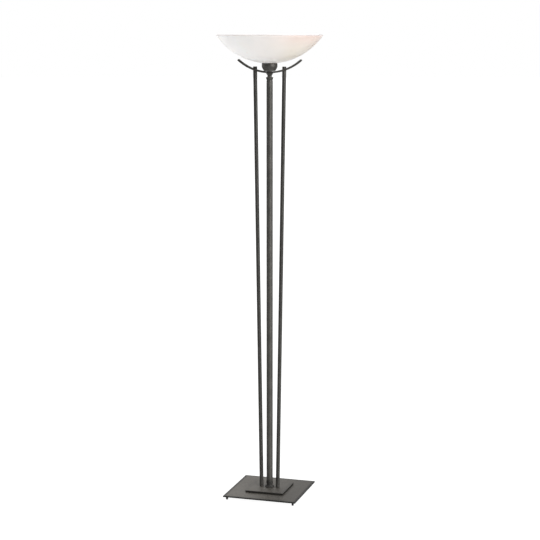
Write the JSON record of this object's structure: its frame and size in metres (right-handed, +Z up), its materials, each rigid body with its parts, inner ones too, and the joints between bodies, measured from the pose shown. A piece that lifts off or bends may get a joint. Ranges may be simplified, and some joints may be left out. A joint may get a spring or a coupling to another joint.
{
  "type": "torchiere floor lamp",
  "caption": "Tall floor lamp with an open opal glass bowl that throws light upward, on a pole and leaning rods with a square foot.",
  "frame": {"origin": "on the floor, straight under the pole axis and the middle of the square foot", "axes": "+Z up along the pole, +X along the crescent bar from one rod to the other, the front faces -Y"},
  "size_m": [0.4216, 0.4216, 1.8679],
  "materials": {
    "iron": "dark warm grey wrought iron with a fine rough grain, semi-matt",
    "opal_glass": "opal white glass, satin outside and smooth inside",
    "rubber": "black rubber, matt",
    "zinc": "zinc-plated steel",
    "brass": "plain brass",
    "phenolic": "black moulded phenolic, half gloss",
    "fibre": "brown pressed fibre, matt",
    "lamp_metal": "bare rolled aluminium",
    "lamp_insulator": "black glass insulator",
    "lamp_glass": "inside-frosted glass",
    "filament": "drawn wire, dull",
    "wire": "dark insulated wire"
  },
  "bodies": {
    "stand": {"foot_front_left": "rubber", "foot_stud_front_left": "zinc", "foot_rear_left": "rubber", "foot_stud_rear_left": "zinc", "foot_front_right": "rubber", "foot_stud_front_right": "zinc", "foot_rear_right": "rubber", "foot_stud_rear_right": "zinc", "base_plate": "iron", "step_plate": "iron", "foot_washer": "zinc", "foot_nut": "zinc", "foot_nipple": "zinc", "cord_inlet_bushing": "phenolic", "pole_flange": "iron", "pole_tube": "iron", "pole_collar": "iron", "neck_cone": "iron", "head_nipple": "zinc", "left_rod": "iron", "left_rod_cap": "iron", "left_rod_stud": "zinc", "left_rod_washer": "zinc", "left_rod_screw": "zinc", "right_rod": "iron", "right_rod_cap": "iron", "right_rod_stud": "zinc", "right_rod_washer": "zinc", "right_rod_screw": "zinc", "crescent_bar": "iron", "cup_seat_washer": "zinc", "cup": "iron", "cup_lock_washer": "zinc", "cup_nut": "zinc", "bowl_gasket": "rubber", "glass_bowl": "opal_glass", "holder_base": "phenolic", "holder_body": "phenolic", "line_terminal_screw": "brass", "neutral_terminal_screw": "brass", "centre_contact": "brass", "screw_shell": "brass", "line_wire": "wire", "neutral_wire": "wire"},
    "lamp_rise": {"lamp_contact_tip": "lamp_metal"},
    "lamp": {"lamp_insulator": "lamp_insulator", "lamp_screw_base": "lamp_metal", "lamp_envelope": "lamp_glass", "lamp_stem": "lamp_glass", "lamp_lead_left": "filament", "lamp_lead_right": "filament", "lamp_filament": "filament"},
    "ring_rise": {"ring_slip_washer": "fibre"},
    "ring": {"retaining_ring": "phenolic"}
  },
  "joints": [
    {"name": "lamp_lift", "type": "slide", "parent": "stand", "child": "lamp_rise", "axis": [0, 0, 1], "range_m": [0, 0.02]},
    {"name": "lamp_turn", "type": "hinge", "parent": "lamp_rise", "child": "lamp", "pos_m": [0, 0, 1.76], "axis": [0, 0, 1], "range_deg": [0, 1980]},
    {"name": "ring_lift", "type": "slide", "parent": "stand", "child": "ring_rise", "axis": [0, 0, 1], "range_m": [0, 0.0128]},
    {"name": "ring_turn", "type": "hinge", "parent": "ring_rise", "child": "ring", "pos_m": [0, 0, 1.765], "axis": [0, 0, 1], "range_deg": [0, 1800]}
  ],
  "couplings": [
    {"joint": "lamp_lift", "follows": "lamp_turn", "m_per_rad": 0.00057757},
    {"joint": "ring_lift", "follows": "ring_turn", "m_per_rad": 0.00040425}
  ]
}
